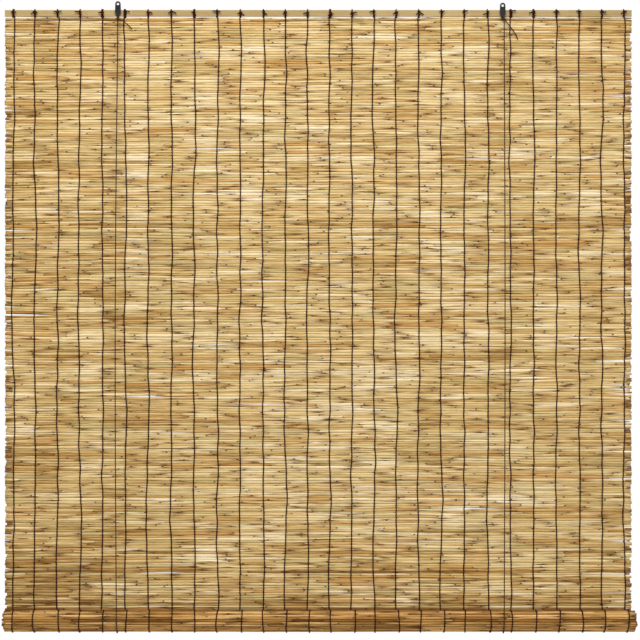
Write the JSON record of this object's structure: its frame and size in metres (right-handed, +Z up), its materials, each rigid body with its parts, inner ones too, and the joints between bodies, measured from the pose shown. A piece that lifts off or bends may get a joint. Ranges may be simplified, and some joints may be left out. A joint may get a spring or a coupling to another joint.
{
  "type": "reed roll up blind",
  "caption": "Roll-up blind of natural reeds bound with dark twine, hung by two moulded eyes, its lower part wound up in two slings of lift cord.",
  "frame": {"origin": "middle of the outer box: midway along the roll in X, on the roll's axis in Y, and halfway between the top of the left hanger and the underside of the cord slings in Z", "axes": "+X along the reeds, to the right as seen from the room; +Y away from the room, towards the window; +Z up"},
  "size_m": [1.2064, 0.0508, 1.207],
  "materials": {
    "dried_reed": "natural dried stem, satin, unvarnished, every reed its own straw, cream, green-grey or brown tone",
    "weathered_reed": "natural dried stem, browner outer turns of the roll",
    "smooth_batten": "planed split-cane slat, satin",
    "brown_twine": "dark maroon-brown twisted cotton twine",
    "olive_cord": "olive-brown twisted lift cord",
    "black_plastic": "moulded, satin"
  },
  "bodies": {
    "hangers": {"left_hanger": "black_plastic", "right_hanger": "black_plastic"},
    "blind": {"head_batten": "smooth_batten", "hanging_reeds": "dried_reed", "warp_threads": "brown_twine", "thread_knots": "brown_twine", "left_cord_knot": "olive_cord", "right_cord_knot": "olive_cord", "left_cord_tail": "olive_cord", "right_cord_tail": "olive_cord", "left_cord_front": "olive_cord", "right_cord_front": "olive_cord", "left_cord_back": "olive_cord", "right_cord_back": "olive_cord"},
    "slings": {"left_cord_sling": "olive_cord", "right_cord_sling": "olive_cord"},
    "roll": {"rolled_mat": "weathered_reed", "roll_threads": "brown_twine", "bottom_batten": "smooth_batten"}
  },
  "joints": [
    {"name": "blind_swing", "type": "hinge", "parent": "hangers", "child": "blind", "pos_m": [-0.38542, 0.0129, 0.5754], "axis": [-1, 0, 0.0041], "range_deg": [0, 25]},
    {"name": "roll_lift", "type": "slide", "parent": "blind", "child": "slings", "axis": [0, 0, 1], "range_m": [0, 1.07], "deforming": ["hanging_reeds", "warp_threads", "left_cord_front", "right_cord_front", "left_cord_back", "right_cord_back"]},
    {"name": "roll_turn", "type": "hinge", "parent": "slings", "child": "roll", "pos_m": [0, 0, -0.5781], "axis": [1, 0, 0], "range_deg": [-1800, 0]}
  ],
  "couplings": [
    {"joint": "roll_turn", "follows": "roll_lift", "rad_per_m": -29.361}
  ]
}
